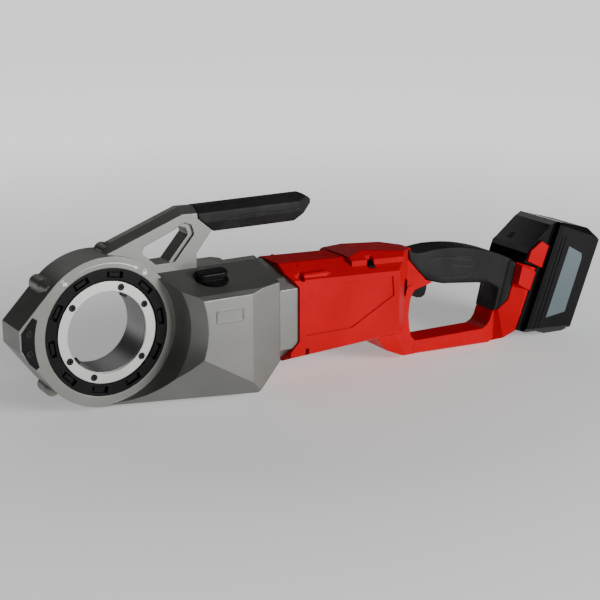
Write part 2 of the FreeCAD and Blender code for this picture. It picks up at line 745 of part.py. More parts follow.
def motor_case():
    """The motor housing: flat flanks, sloping shoulders and a taper towards the handle."""
    case = box((CASE_FRONT_X, 392), (-SHELL_HALF, SHELL_HALF), (-58, 51))
    case = both_sides(case, (CASE_FRONT_X, -SHELL_HALF, 36.5), SHOULDER)
    case = both_sides(case, (CASE_FRONT_X, -SHELL_HALF, -50), (0.042, -0.406, -0.913))
    case = both_sides(case, (CASE_END_X, -SHELL_HALF, 0), CASE_TAPER)
    case = trim(case, (CASE_FRONT_X, 0, 51), (0.04, 0, 1))
    case = trim(case, (CASE_FRONT_X, 0, -58), (0.0425, 0, -0.999))
    case = trim(case, (345, 0, -52), (0.34, 0, -0.94))
    case = round_edges(case, 2.5, lambda p: p.x > CASE_FRONT_X + 1)
    hump = box((284, 392), (-34, 34), (20, 60))
    hump = both_sides(hump, (300, -21, 51.6), SHOULDER)
    hump = both_sides(hump, (CASE_END_X, -SHELL_HALF, 0), CASE_TAPER)
    hump = trim(hump, (290, 0, 49.7), (-0.166, 0, 0.986))
    hump = trim(hump, (303, 0, 52.4), (0.11, 0, 0.994))
    hump = trim(hump, (379.5, 0, 44.2), (0.61, 0, 0.79))
    hump = round_edges(hump, 2.0, lambda p: p.z > 30 and p.x > 285)
    return trim(fuse([case, hump]), (379.5, 0, 44.2), (0.61, 0, 0.79))


def bevel_rim(shape, outline, half, size):
    """Bevel the two flat sides of a plate along its outer outline."""
    edges = []
    for edge in shape.Edges:
        ends = [v.Point for v in edge.Vertexes]
        if len(ends) != 2:
            continue
        flat = all(abs(abs(p.y) - half) < 1e-6 for p in ends)
        on_rim = all(any(math.hypot(p.x - a, p.z - b) < 1e-4 for a, b in outline) for p in ends)
        if flat and on_rim and abs(ends[0].y - ends[1].y) < 1e-6:
            edges.append(edge)
    return shape.makeChamfer(size, edges)


def foot_taper(shape):
    """Facet the foot's front corners and let its sides spread back to the battery."""
    shape = both_sides(shape, (499.4, -13, -47), (-0.83, -0.56, 0.216))
    shape = both_sides(shape, (499.4, -13, -47), (-0.83, -0.56, 0))
    return both_sides(shape, (504.5, -20.5, -46.5), (-0.44, -0.898, 0.11))


def d_handle():
    """The slim loop, the wide foot behind it and the leg in front of it."""
    rail = plate(HANDLE_OUTER, (-RAIL_HALF, RAIL_HALF))
    rail = bevel_rim(rail, HANDLE_OUTER, RAIL_HALF, 2.5)
    foot = [(489, -75), (497, -50), (528, 10.5), (550, 2.0), (522.2, -73), (497, -88.5),
            (489, -88)]
    foot_shape = foot_taper(plate(foot, (-FOOT_HALF, FOOT_HALF)))
    side_plate = [(-23.6, 74.5), (0, 72), (0, 48.4), (-20.6, 51.5)]
    pads = [in_battery(plate(side_plate, y)) for y in ((-35, -14), (14, 35))]
    leg = [(310, -40), (330, 0), (392, 0), (386, -50.9), (390, -62), (400, -84), (370, -84),
           (342, -71.7), (318, -46)]
    leg_shape = plate(leg, (-27.5, 27.5))
    leg_shape = both_sides(leg_shape, (345, -27.5, 0), (0.3, -0.954, 0))
    leg_shape = both_sides(leg_shape, (350, -27.5, -45), (0, -0.98, -0.2))
    leg_shape = both_sides(leg_shape, (350, -18.5, -82), (0, -0.6, -0.8))
    return rail, fuse([foot_shape] + pads), leg_shape


def grip_flare():
    """The part of the soft grip that widens to meet the foot."""
    shape = plate(FLARE_OUTLINE, (-FOOT_HALF + 1.0, FOOT_HALF - 1.0))
    return both_sides(shape, (513.1, -17, 10.9), (-0.372, -0.508, 0.777))


def shell_solid():
    rail, foot, leg = d_handle()
    shape = fuse([motor_case(), rail, foot, leg])
    grip_zone = plate(GRIP_OUTLINE, (-60, 60))
    core = plate(GRIP_CORE, (-12.5, 12.5))
    opening = plate(HANDLE_OPENING, (-60, 60))
    flare_zone = plate(FLARE_OUTLINE, (-60, 60))
    tools = [opening, grip_zone, flare_zone, grip_block(60)]
    shape = fuse([cut(shape, tools), core] + screw_barrels())
    front = [(150, 60), (193, 60), (195, 45), (SHELL_X, 28), (SHELL_X, -33), (198, -44),
             (197, -60), (150, -60)]
    flanks = [plate(front, (-60, -30)), plate(front, (30, 60))]
    inside = [rod_x(MOTOR_BORE_R, (190, 320)), neck_block(), gearbox_block()]
    inside.append(box((318, 352), (-30, 30), (-34, 34)))
    inside.append(box((350, 368), (-14, 14), (-28, 26)))
    inside.append(box((378, 428), (-9.3, 9.3), (12, 30)))
    inside.append(box((383, 412), (-7.5, 7.5), (-12, 14)))
    inside.append(plate([(340, -44), (380, -80.5), (494, -81), (494, -73), (386, -73),
                         (361, -44)], (-11, 11)))
    inside += flank_panels() + end_screw_holes()
    inside.append(selector_body(GAP))
    inside.append(status_button_body(GAP))
    inside.append(terminal_block_body())
    inside.append(trigger_body(0.0, GAP))
    inside.append(trigger_body(TRIGGER_TRAVEL, GAP))
    for x, z, half in shell_screw_places():
        inside.append(rod_y(2.9, (-half + 5, 60), x, z))
        inside.append(rod_y(4.6, (half - 5, 60), x, z))
    return cut(shape, flanks + inside)


def flank_panels():
    """Shallow recessed panels in the middle of both flanks."""
    return [plate(PANEL_OUTLINE, y) for y in ((-60, PANEL_DEPTH - SHELL_HALF),
                                              (SHELL_HALF - PANEL_DEPTH, 60))]


def screw_barrels():
    """Half-round bosses over the long screws that hold the housing to the casting."""
    barrels = []
    for side in (-1, 1):
        barrel = rod_x(4.6, (212, 246), side * 38.0, 37.0)
        tip = Part.makeCone(4.6, 1.5, 8, Vector(246, side * 38.0, 37.0), Vector(1, 0, 0))
        barrels += [barrel, tip]
    return barrels


def end_screw_holes():
    """Pockets at the front of the flanks, above and below, for the long screws' heads."""
    holes = []
    for side in (-1, 1):
        holes.append(rod_x(3.4, (207, 217), side * 40.0, 38.5))
        holes.append(rod_x(3.4, (211, 223), side * 41.5, -46.5))
        holes.append(box((211, 216), sorted((side * 36.0, side * 50.0)), (34.5, 44.5)))
        holes.append(box((217, 221), sorted((side * 38.0, side * 50.0)), (-52.0, -42.5)))
    return holes


def shell_screw_places():
    """(x, z, half width of the shell there) of the screws that join its two halves."""
    return [(218, 44.5, 30.5), (218, -48.5, 41.0), (298, 44.0, 29.0), (298, -48.0, 38.0),
            (352, -62, 24.0), (400, -76, RAIL_HALF), (470, -76, RAIL_HALF), (511, -66, 24.0)]


def shell_half(whole, side):
    slab = box((150, 600), (0, 80) if side > 0 else (-80, 0), (-120, 120))
    return main_solid(whole.common(slab))


def shell_screws():
    screws = []
    for x, z, half in shell_screw_places():
        screw = bolt_y(2.8, 4.4, (0, 2 * half - 12), 3.0)
        screw.rotate(Vector(0, 0, 0), Vector(0, 0, 1), 180)
        screws.append(screw.translated(Vector(x, half - 5, z)))
    return group(screws)


def smooth_plate(curve, rest, y):
    """An extruded outline whose first stretch is a smooth curve through its points."""
    spline = Part.BSplineCurve()
    spline.interpolate([Vector(a, y[0], b) for a, b in curve])
    corners = [Vector(a, y[0], b) for a, b in [curve[-1]] + rest + [curve[0]]]
    wire = Part.Wire([spline.toShape()] + Part.makePolygon(corners).Edges)
    return Part.Face(wire).extrude(Vector(0, y[1] - y[0], 0))


def grip_block(half):
    """The grip's outline with its top as one smooth curve."""
    curve = GRIP_OUTLINE[1:GRIP_CURVE_END]
    rest = GRIP_OUTLINE[GRIP_CURVE_END:] + GRIP_OUTLINE[:1]
    return smooth_plate(curve, rest, (-half, half))


def rear_grip():
    shape = grip_block(GRIP_HALF + 1.5)
    shape = round_edges(shape, 7.0, lambda p: abs(p.y) > GRIP_HALF and 385 < p.x < 515
                        and p.z > -12)
    arch = trim(shape, (0, 0, COLUMN_TOP_Z), (0, 0, -1))
    column = trim(shape, (0, 0, COLUMN_TOP_Z), (0, 0, 1))
    shape = fuse([arch, foot_taper(fuse([column, grip_flare()]))])
    core = plate(GRIP_CORE, (-12.5, 12.5))
    tools = [core, terminal_block_body(), trigger_body(0.0, GAP), trigger_body(TRIGGER_TRAVEL, GAP)]
    tools.append(box((378, 428), (-9.3, 9.3), (12, 30)))
    return main_solid(cut(shape, tools))


# ---- controls ---------------------------------------------------------------------------
TRIGGER_TRAVEL = 6.0
TRIGGER_DIR = Vector(0.26, 0, 0.966)


def trigger_body(lift=0.0, grow=0.0):
    g = grow
    paddle = [(385.5 - g, -12), (387 - g, -16 - g), (393, -18.6 - g), (399.5, -19.4 - g),
              (404.4 + g, -17 - g), (406.5 + g, -11), (409 + g, 4 + g), (391 - g, 4 + g)]
    shape = plate(paddle, (-7 - g, 7 + g))
    shape.translate(TRIGGER_DIR * lift)
    return shape


def trigger():
    stem = rod_z(3.0, (2, 10), 405.5)
    return fuse([trigger_body(), stem])


def rod_z(radius, z, x, y=0.0):
    return Part.makeCylinder(radius, z[1] - z[0], Vector(x, y, z[0]), Vector(0, 0, 1))


def trigger_switch():
    body = box((380, 427), (-9.0, 9.0), (12.3, 29.5))
    bore = rod_z(6.5, (12, 22), 406.5)
    return cut(body, [bore])


def trigger_spring():
    """A coil spring around the trigger's stem, shown as its separate turns."""
    turns = []
    for k in range(4):
        turn = Part.makeTorus(3.9, 0.55, Vector(405.5, 0, 5.0 + 1.6 * k), Vector(0, 0, 1))
        turns.append(turn)
    return group(turns)


def selector_body(grow=0.0):
    g = grow
    outline = [(359.5 - g, -2.5), (364.5, -9.5 - g), (370.5 + g, -1.5), (371.5 + g, 6.5),
               (367.5, 11.5 + g), (362 - g, 11 + g)]
    shape = plate(outline, (-32 - 60 * g, 32 + 60 * g))
    if grow:
        return shape
    return both_sides(shape, (CASE_END_X - 1, -SHELL_HALF + 1, 0), CASE_TAPER)


def direction_selector():
    return selector_body()


def status_button_body(grow=0.0):
    g = grow
    return box((305 - g, 313 + g), (-38 - 2 * g, -29 + 4 * g), (34 - 4 * g, 46 + 10 * g))


def status_button():
    return trim(status_button_body(), (309, -33.5, 40.2), (0.04, -0.487, 0.872))


def control_board():
    return box((324, 328), (-26, 26), (-30, 30))


def rail_harness():
    """The power lead's stiff duct along the lower rail."""
    return box((405, 462), (-4, 4), (-80, -75))


# ---- battery mount and battery ----------------------------------------------------------
PADS = ((20, 41), (44.5, 64), (67.5, 87), (90.5, 110))  # bumper pads up the outer face
PAD_DEPTH = 4.0
BATTERY_OUTLINE = [(0, -2), (15, -2), (29, 3), (49, 3), (74, 12)]
for low, high in PADS:
    BATTERY_OUTLINE += [(79.5, low), (79.5 + PAD_DEPTH, low + 2), (79.5 + PAD_DEPTH, high - 2),
                        (79.5, high)]
BATTERY_OUTLINE += [(83.4, 113.5), (83.4, 124), (79, 132), (60, 142.5), (8, 138), (1, 131.5),
                    (-20, 97), (-22, 90), (-22, 78.5), (0, 78.5)]
LATCH_OUTLINE = [(-19.5, 81.5), (-19.5, 94.5), (-8, 109.5), (5, 107), (5, 79.0)]
CASE_SPLIT = 16.0
LATCH_TRAVEL = 3.0


def terminal_block_body():
    stem = box((-8, 4.6), (-23.5, 23.5), (6, 76))
    flange = box((4.6, 8.6), (-27.5, 27.5), (6, 76))
    return in_battery(fuse([stem, flange]))


def terminal_block():
    shape = terminal_block_body()
    slots = [in_battery(box((3, 9), (y - 1, y + 1), (30, 70))) for y in (-15, -5, 5, 15)]
    return cut(shape, slots)


def battery_full():
    body = plate(BATTERY_OUTLINE, (-BATTERY_HALF, BATTERY_HALF))
    side = box((-30, 9.5), (34.0, 60), (-10, 160))
    other = box((-30, 9.5), (-60, -34.0), (-10, 160))
    body = cut(body, [side, other])
    for y, s in ((-BATTERY_HALF, -1), (BATTERY_HALF, 1)):
        body = trim(body, (83.4, y - s * 6, 0), (0.7, s * 0.7, 0))
        body = trim(body, (0, y - s * 6, 141), (0, s * 0.7, 0.7))
        body = trim(body, (40, y - s * 6, 5), (0.2, s * 0.7, -0.68))
    return body


def battery_cavity():
    return box((14.5, 82), (-36.5, 36.5), (17.0, 125.5))


def rail_channel():
    stem = box((-1, 5.0), (-24, 24), (-5, 78))
    wide = box((4.2, 9.0), (-28, 28), (-5, 78))
    return fuse([stem, wide])


def latch_plate(side, y0, y1, grow=0.0):
    low, high = sorted((side * y0, side * y1))
    shape = plate(LATCH_OUTLINE, (low, high))
    if grow:
        shape = fuse([shape.translated(Vector(a, 0, b)) for a in (-grow, grow)
                      for b in (-grow, grow)] + [shape])
    return shape


def battery_case_inner():
    zone = box((-40, CASE_SPLIT), (-50, 50), (-20, 160))
    tools = [rail_channel(), battery_cavity(), gauge_panel_body(), gauge_pocket()]
    for side in (-1, 1):
        tools.append(latch_plate(side, 34.0 - LATCH_TRAVEL - 3.6, 45, GAP))
    return in_battery(main_solid(cut(battery_full().common(zone), tools)))


def battery_case_outer():
    zone = box((CASE_SPLIT, 120), (-50, 50), (-20, 160))
    shape = battery_full().common(zone)
    tools = [battery_cavity(), label_body(-1), label_body(1)]
    tools += [side_groove(side, x) for side in (-1, 1) for x in (18.5, 24.0)]
    tools += [rod_x(2.2, (CASE_SPLIT - 1, 30), y, z) for y, z in battery_screw_places()]
    return in_battery(main_solid(cut(shape, tools)))


def side_groove(side, x):
    """A long shallow groove up the battery's side."""
    low, high = sorted((side * (BATTERY_HALF - 0.9), side * (BATTERY_HALF + 1)))
    return plate([(x + 2, 4), (x + 3.2, 4), (x + 1.2, 124), (x, 124)], (low, high))


def battery_screw_places():
    return [(y, z) for y in (-37.0, 37.0) for z in (12.0, 132.0)]


def battery_cells():
    cells = []
    for x in (28.5, 50.0, 71.0):
        for k in range(5):
            cells.append(rod_y(CELL_R, (-CELL_LENGTH / 2, CELL_LENGTH / 2), x, 28.0 + 21.5 * k))
    return in_battery(group(cells))


def label_body(side):
    outline = [(34, 22.5), (60.7, 36.3), (59.7, 104), (57, 110.5), (34, 114)]
    low, high = sorted((side * (BATTERY_HALF - 0.8), side * (BATTERY_HALF + 0.2)))
    return plate(outline, (low, high))


def battery_labels():
    return in_battery(group(label_body(side) for side in (-1, 1)))


def gauge_panel_body():
    outline = [(-17.5, 100.8), (0.5, 127.2), (3.0, 125.5), (-15.0, 99.1)]
    return plate(outline, (-20, 20))


def gauge_frame(shape):
    """From gauge axes (x across, z out of the sloping front) to battery axes."""
    placed = shape.copy()
    slope = math.degrees(math.atan2(36, 24.5))
    placed.Placement = Placement(Vector(-14.0, 0, 105.8), Rotation(Vector(0, 1, 0), -slope))
    return placed


def gauge_button_body():
    return gauge_frame(box((-4, 4), (8, 16), (-4.5, 1.0)))


def gauge_pocket():
    """Room for the button behind the panel, with its travel below."""
    return gauge_frame(box((-4.3, 4.3), (7.7, 16.3), (-6.0, 2.0)))


def gauge_panel():
    return in_battery(cut(gauge_panel_body(), [gauge_pocket()]))


def gauge_button():
    return in_battery(gauge_button_body())


def release_latch(side):
    return in_battery(latch_plate(side, 33.6, 37.2))


def latch_springs():
    turns = []
    for side in (-1, 1):
        for k in range(2):
            centre = Vector(-5, side * (28.4 + 1.2 * k), 100)
            turns.append(Part.makeTorus(3.0, 0.45, centre, Vector(0, 1, 0)))
    return in_battery(group(turns))


def battery_screws():
    return in_battery(group(rod_x(2.1, (CASE_SPLIT, 29), y, z)
                            for y, z in battery_screw_places()))


# ---- write every part -------------------------------------------------------------------
def main():
    save("front_gear_housing", front_housing())
    save("rear_gear_housing", rear_housing())
    save("rear_cover_ring", rear_cover())
    save("case_bolts", case_bolt_set())
    save("nose_plate", nose_plate())
    save("nose_plate_screws", nose_plate_screws())
    save("carry_arm", carry_arm())
    save("carry_grip", carry_grip())
    save("carry_grip_bolt", carry_grip_bolt())
    save("gearbox_knob", gearbox_knob())
    save("spindle_tube", spindle_tube())
    save("spindle_gear", spindle_gear())
    save("face_ring", face_ring())
    save("face_ring_screws", face_ring_screws())
    save("drive_keys", group(drive_key(angle) for angle in KEY_ANGLES))
    save("lock_ring", lock_ring())
    save("spindle_bearing_front", spindle_bearing((3.0, 11.0)))
    save("spindle_bearing_rear", spindle_bearing((31.0, 38.0)))
    save("idler_gear", idler_gear())
    save("idler_pin", idler_pin())
    save("cross_shaft", cross_shaft())
    save("output_pinion", output_pinion())
    save("bevel_gear", bevel_gear())
    save("cross_shaft_bearings", cross_bearings())
    save("bevel_pinion", bevel_pinion())
    save("planet_carrier", planet_carrier())
    save("carrier_bearing", tube_x(CARRIER_R + RUN, 18.0, (152.0, 162.0)))
    for index in range(PLANETS):
        save("planet_gear_" + str(index + 1), planet(index))
    save("planet_ring_gear", ring_gear())
    save("motor_shaft", motor_shaft())
    save("rotor_core", rotor_core())
    save("motor_fan", motor_fan())
    save("stator_core", stator_core())
    save("stator_windings", stator_windings())
    save("motor_bearings", group([motor_bearing((192, 200)), motor_bearing((308, 316))]))
    save("motor_end_plates", group([motor_plate((192, 200)), motor_plate((308, 316))]))
    whole = shell_solid()
    save("body_shell_near", shell_half(whole, -1))
    save("body_shell_far", shell_half(whole, 1))
    save("body_shell_screws", shell_screws())
    save("rear_grip", rear_grip())
    save("trigger", trigger())
    save("trigger_spring", trigger_spring())
    save("trigger_switch", trigger_switch())
    save("direction_selector", direction_selector())
    save("status_button", status_button())
    save("control_board", control_board())
    save("power_bus_bar", rail_harness())
    save("terminal_block", terminal_block())
    save("battery_case_inner", battery_case_inner())
    save("battery_case_outer", battery_case_outer())
    save("battery_cells", battery_cells())
    save("battery_labels", battery_labels())
    save("battery_screws", battery_screws())
    save("gauge_panel", gauge_panel())
    save("gauge_button", gauge_button())
    save("release_latch_near", release_latch(-1))
    save("release_latch_far", release_latch(1))
    save("latch_springs", latch_springs())


main()
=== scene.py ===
import json
import math

import bmesh
import bpy
import numpy as np
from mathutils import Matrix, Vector


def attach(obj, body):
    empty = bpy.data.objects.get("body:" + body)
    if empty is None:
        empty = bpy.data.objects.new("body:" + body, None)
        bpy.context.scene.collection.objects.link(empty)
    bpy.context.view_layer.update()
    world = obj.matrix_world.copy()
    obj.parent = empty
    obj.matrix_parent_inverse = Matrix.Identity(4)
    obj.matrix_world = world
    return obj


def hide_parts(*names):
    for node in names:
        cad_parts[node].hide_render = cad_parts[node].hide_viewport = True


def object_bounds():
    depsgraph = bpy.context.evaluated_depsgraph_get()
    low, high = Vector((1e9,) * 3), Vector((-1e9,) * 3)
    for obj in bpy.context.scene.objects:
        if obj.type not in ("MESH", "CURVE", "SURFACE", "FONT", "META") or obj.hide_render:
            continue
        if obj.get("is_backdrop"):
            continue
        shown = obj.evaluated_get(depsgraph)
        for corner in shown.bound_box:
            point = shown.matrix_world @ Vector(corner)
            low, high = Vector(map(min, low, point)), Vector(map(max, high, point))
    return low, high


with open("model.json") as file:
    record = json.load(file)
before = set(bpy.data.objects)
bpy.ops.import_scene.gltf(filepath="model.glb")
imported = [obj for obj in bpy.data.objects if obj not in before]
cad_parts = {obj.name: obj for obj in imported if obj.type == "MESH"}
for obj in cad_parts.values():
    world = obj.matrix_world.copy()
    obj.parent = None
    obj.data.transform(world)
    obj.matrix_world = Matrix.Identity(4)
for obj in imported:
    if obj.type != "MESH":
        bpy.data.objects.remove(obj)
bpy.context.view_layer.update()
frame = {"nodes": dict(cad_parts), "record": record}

MM = 0.001                                # metres in a millimetre
FLAT, EDGE = 0.99, 0.80                   # dot of flat and rounded normal: no edge wear and painted highlight, full edge wear and painted highlight


# ---- shader helpers ---------------------------------------------------------------------
class Shader:
    """A material's node tree, with short ways to add and join nodes."""

    def __init__(self, name):
        self.material = bpy.data.materials.new(name)
        self.material.use_nodes = True
        self.tree = self.material.node_tree
        self.bsdf = self.tree.nodes["Principled BSDF"]
        self.place = self.add("ShaderNodeTexCoord").outputs["Object"]

    def add(self, kind, **values):
        node = self.tree.nodes.new(kind)
        for key, value in values.items():
            setattr(node, key, value)
        return node

    def link(self, source, target):
        self.tree.links.new(source, target)

    def stretched(self, stretch):
        if stretch is None:
            return self.place
        mapping = self.add("ShaderNodeMapping")
        mapping.inputs["Scale"].default_value = stretch
        self.link(self.place, mapping.inputs["Vector"])
        return mapping.outputs["Vector"]

    def noise(self, scale, detail=3.0, rough=0.5, stretch=None):
        node = self.add("ShaderNodeTexNoise")
        node.inputs["Scale"].default_value = scale
        node.inputs["Detail"].default_value = detail
        node.inputs["Roughness"].default_value = rough
        self.link(self.stretched(stretch), node.inputs["Vector"])
        return node.outputs["Fac"]

    def voronoi(self, scale):
        node = self.add("ShaderNodeTexVoronoi")
        node.inputs["Scale"].default_value = scale
        self.link(self.place, node.inputs["Vector"])
        return node.outputs["Distance"]

    def span(self, source, low, high, out_low=0.0, out_high=1.0):
        node = self.add("ShaderNodeMapRange")
        for key, value in (("From Min", low), ("From Max", high), ("To Min", out_low),
                           ("To Max", out_high)):
            node.inputs[key].default_value = value
        self.link(source, node.inputs["Value"])
        return node.outputs["Result"]

    def wander(self, noise, low, high):
        """A value that drifts between low and high with the noise."""
        return self.span(noise, 0.3, 0.7, low, high)

    def math(self, operation, a, b):
        node = self.add("ShaderNodeMath", operation=operation)
        for socket, value in zip(node.inputs, (a, b)):
            if isinstance(value, (int, float)):
                socket.default_value = value
            else:
                self.link(value, socket)
        return node.outputs["Value"]

    def mix(self, factor, a, b):
        node = self.add("ShaderNodeMix", data_type="RGBA")
        self.link(factor, node.inputs["Factor"])
        for key, value in ((6, a), (7, b)):
            if isinstance(value, tuple):
                node.inputs[key].default_value = (*value, 1.0)
            else:
                self.link(value, node.inputs[key])
        return node.outputs[2]

    def mottled(self, noise, dark, light):
        """Two colours in soft patches."""
        return self.mix(self.span(noise, 0.35, 0.65), dark, light)

    def rounded(self, radius):
        """The surface normal, turned as if every edge were rounded off."""
        bevel = self.add("ShaderNodeBevel", samples=4)
        bevel.inputs["Radius"].default_value = radius
        return bevel.outputs["Normal"]

    def edges(self, rounded):
        """High along edges, where the rounded normal leaves the flat one."""
        normal = self.add("ShaderNodeNewGeometry").outputs["True Normal"]
        dot = self.add("ShaderNodeVectorMath", operation="DOT_PRODUCT")
        self.link(rounded, dot.inputs[0])
        self.link(normal, dot.inputs[1])
        return self.span(dot.outputs["Value"], FLAT, EDGE)

    def bump(self, height, distance, strength, after):
        node = self.add("ShaderNodeBump")
        node.inputs["Distance"].default_value = distance
        node.inputs["Strength"].default_value = strength
        self.link(height, node.inputs["Height"])
        self.link(after, node.inputs["Normal"])
        return node.outputs["Normal"]

    def wear(self, color, worn, rounded, amount, scale=60.0):
        """Lighter patches along the edges, broken up by noise: rubbed edges, and on the grey
        casting also a painted edge highlight.
        """
        patch = self.span(self.noise(scale, detail=5.0, rough=0.65), 0.42, 0.62)
        mask = self.math("MULTIPLY", self.math("MULTIPLY", self.edges(rounded), patch), amount)
        return self.mix(mask, color, worn)

    def finish(self, color, rough, normal, metallic=0.0, **sockets):
        self.link(color, self.bsdf.inputs["Base Color"])
        self.link(rough, self.bsdf.inputs["Roughness"])
        self.bsdf.inputs["Metallic"].default_value = metallic
        for key, value in sockets.items():
            self.bsdf.inputs[key.replace("_", " ")].default_value = value
        self.link(normal, self.bsdf.inputs["Normal"])
        return self.material


# ---- materials --------------------------------------------------------------------------
def cast_grey():
    """Satin grey paint with a metallic fleck on a die casting."""
    s = Shader("cast_grey")
    color = s.mottled(s.noise(9.0), dark=(0.190, 0.190, 0.178), light=(0.225, 0.225, 0.210))
    fleck = s.span(s.noise(2600.0, 2.0), 0.45, 0.75)
    color = s.mix(s.math("MULTIPLY", fleck, 0.25), color, (0.36, 0.36, 0.34))
    rounded = s.rounded(1.3 * MM)
    # lighter edges: partly rubbed paint, partly a painted highlight along the edges
    color = s.wear(color, (0.50, 0.50, 0.48), rounded, 0.55)
    rough = s.wander(s.noise(45.0, 4.0), 0.38, 0.48)
    normal = s.bump(s.noise(900.0, 3.0, 0.6), 0.10 * MM, strength=0.45, after=rounded)
    normal = s.bump(s.noise(70.0, 2.0), 0.4 * MM, strength=0.12, after=normal)
    return s.finish(color, rough, normal, metallic=0.8)


def metal(name, base, rough_low, worn=(0.75, 0.75, 0.73)):
    """Turned or ground metal with fine lines."""
    s = Shader(name)
    darker = tuple(c * 0.86 for c in base)
    color = s.mix(s.wander(s.noise(22.0, 4.0), 0.0, 1.0), darker, base)
    lines = s.noise(420.0, detail=4.0, rough=0.7, stretch=(1.0, 9.0, 1.0))
    rough = s.wander(lines, rough_low, rough_low + 0.16)
    rounded = s.rounded(0.5 * MM)
    color = s.wear(color, worn, rounded, 0.6)
    normal = s.bump(lines, 0.06 * MM, strength=0.35, after=rounded)
    return s.finish(color, rough, normal, metallic=1.0)


def plastic(name, dark, light, worn, rough, grain, depth, radius=0.8, wear=0.35, **sockets):
    """Moulded plastic with a fine spark texture and rubbed edges."""
    s = Shader(name)
    color = s.mottled(s.noise(14.0), dark, light)
    rounded = s.rounded(radius * MM)
    color = s.wear(color, worn, rounded, wear, scale=80.0)
    roughness = s.wander(s.noise(60.0, 5.0, 0.7), *rough)
    normal = s.bump(s.noise(grain, 3.0, 0.6), depth * MM, strength=0.5, after=rounded)
    return s.finish(color, roughness, normal, **sockets)


def rubber():
    """Soft overmould: pebbled, dull, a little dusty."""
    s = Shader("black_rubber")
    color = s.mottled(s.noise(30.0, 4.0), dark=(0.010, 0.010, 0.011), light=(0.017, 0.017, 0.018))
    dust = s.span(s.noise(55.0, 6.0, 0.7), 0.55, 0.8)
    color = s.mix(s.math("MULTIPLY", dust, 0.22), color, (0.04, 0.04, 0.04))
    rounded = s.rounded(1.2 * MM)
    color = s.wear(color, (0.05, 0.05, 0.05), rounded, 0.5)
    rough = s.wander(s.noise(70.0, 4.0), 0.48, 0.62)
    normal = s.bump(s.voronoi(1100.0), 0.10 * MM, strength=0.5, after=rounded)
    return s.finish(color, rough, normal, Specular_IOR_Level=0.18)


METALS = {
    "bright_steel": dict(base=(0.62, 0.63, 0.60), rough_low=0.30),
    "gear_steel": dict(base=(0.30, 0.30, 0.30), rough_low=0.32),
    "dark_screw": dict(base=(0.030, 0.030, 0.030), rough_low=0.30, worn=(0.2, 0.2, 0.2)),
    "copper": dict(base=(0.62, 0.26, 0.12), rough_low=0.30, worn=(0.85, 0.5, 0.3)),
}

# radius and depth: of the rounded edges and of the grain, in millimetres; grain: its noise scale
PLASTICS = {
    "black_plastic": dict(dark=(0.004, 0.004, 0.0045), light=(0.007, 0.007, 0.0075),
                          worn=(0.05, 0.05, 0.05), rough=(0.30, 0.44), grain=1500.0, depth=0.06,
                          Specular_IOR_Level=0.14),
    "gloss_black": dict(dark=(0.003, 0.003, 0.003), light=(0.005, 0.005, 0.005),
                        worn=(0.04, 0.04, 0.04), rough=(0.10, 0.18), grain=400.0, depth=0.01,
                        radius=0.6, Specular_IOR_Level=0.14),
    "red_plastic": dict(dark=(0.50, 0.0, 0.006), light=(0.58, 0.0, 0.008),
                        worn=(0.75, 0.03, 0.05), rough=(0.30, 0.42), grain=1500.0, depth=0.05,
                        radius=1.2, wear=0.30, Specular_IOR_Level=0.06),
    "board_green": dict(dark=(0.01, 0.06, 0.03), light=(0.015, 0.09, 0.04),
                        worn=(0.2, 0.2, 0.1), rough=(0.3, 0.4), grain=800.0, depth=0.03),
    "label_grey": dict(dark=(0.085, 0.12, 0.135), light=(0.105, 0.14, 0.155),
                       worn=(0.3, 0.3, 0.3), rough=(0.26, 0.36), grain=700.0, depth=0.02,
                       radius=0.3),
    "cell_wrap": dict(dark=(0.03, 0.12, 0.22), light=(0.04, 0.15, 0.27),
                      worn=(0.3, 0.3, 0.3), rough=(0.3, 0.4), grain=700.0, depth=0.02),
    "white_ink": dict(dark=(0.70, 0.70, 0.70), light=(0.80, 0.80, 0.80),
                      worn=(0.5, 0.5, 0.5), rough=(0.4, 0.5), grain=900.0, depth=0.01,
                      radius=0.1),
}


def materials():
    """Every material, under the name of its slot in the frame."""
    made = {"cast_grey": cast_grey()}
    for name, look in METALS.items():
        made[name] = metal(name, **look)
    made["black_rubber"] = rubber()
    for name, look in PLASTICS.items():
        made[name] = plastic(name, **look)
    return made


def dress_frame(made):
    slots = {item["node"]: item["material_slot"] for item in frame["record"]["subparts"]}
    for node, obj in frame["nodes"].items():
        obj.data.materials.clear()
        obj.data.materials.append(made[slots[node]])


# ---- pieces -----------------------------------------------------------------------------
def add_piece(name, mesh, body, material):
    piece = bpy.data.objects.new(name, mesh)
    bpy.context.scene.collection.objects.link(piece)
    mesh.materials.clear()
    mesh.materials.append(material)
    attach(piece, body)
    return piece


def softened(node, voxel, passes):
    """A copy of a CAD node's mesh, remeshed evenly and with its edges melted round."""
    worker = bpy.data.objects.new("worker", frame["nodes"][node].data.copy())
    bpy.context.scene.collection.objects.link(worker)
    remesh = worker.modifiers.new("voxels", "REMESH")
    remesh.mode = "VOXEL"
    remesh.voxel_size = voxel * MM
    smooth = worker.modifiers.new("smooth", "SMOOTH")
    smooth.factor = 0.5
    smooth.iterations = passes
    graph = bpy.context.evaluated_depsgraph_get()
    mesh = bpy.data.meshes.new_from_object(worker.evaluated_get(graph))
    bpy.data.objects.remove(worker)
    return mesh


def displace(mesh, depth):
    """Move each vertex along its normal by depth(x, z, normals), in millimetres."""
    count = len(mesh.vertices)
    places = np.empty(count * 3)
    normals = np.empty(count * 3)
    mesh.vertices.foreach_get("co", places)
    mesh.vertex_normals.foreach_get("vector", normals)
    places = places.reshape(-1, 3)
    normals = normals.reshape(-1, 3)
    x, _, z = (places / MM).T
    places += normals * (depth(x, z, normals) * MM)[:, None]
    mesh.vertices.foreach_set("co", places.ravel())
    mesh.update()


def ramp(value, low, high):
    return np.clip((value - low) / (high - low), 0.0, 1.0)


